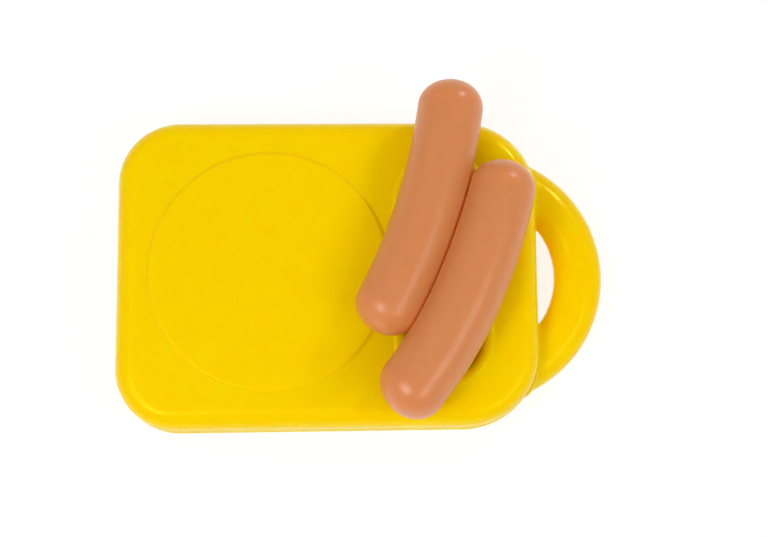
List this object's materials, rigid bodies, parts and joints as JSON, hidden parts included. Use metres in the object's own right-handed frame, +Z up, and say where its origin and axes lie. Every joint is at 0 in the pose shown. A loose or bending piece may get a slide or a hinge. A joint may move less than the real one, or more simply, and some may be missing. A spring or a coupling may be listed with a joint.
{
  "type": "toy dish set",
  "caption": "Toy serving tray with a raised round disc, an oblong pocket and a ring handle, with loose play sausages lying across the pocket.",
  "frame": {"origin": "middle of the tray body's flat underside, on the surface that the tray stands on", "axes": "+X along the tray towards the handle, +Y to the tray's back edge, +Z up"},
  "size_m": [0.2088, 0.1452, 0.0617],
  "materials": {
    "tray": "glossy yellow blow-moulded plastic",
    "sausage": "semi-gloss salmon blow-moulded plastic"
  },
  "bodies": {
    "tray": {"serving_tray": "tray"},
    "left_sausage_body": {"left_sausage": "sausage"},
    "right_sausage_body": {"right_sausage": "sausage"}
  },
  "joints": [
    {"name": "left_sausage_lift", "type": "slide", "parent": "tray", "child": "left_sausage_body", "axis": [0, 0, 1], "range_m": [0, 0.06]},
    {"name": "right_sausage_lift", "type": "slide", "parent": "tray", "child": "right_sausage_body", "axis": [0, 0, 1], "range_m": [0, 0.06]}
  ]
}
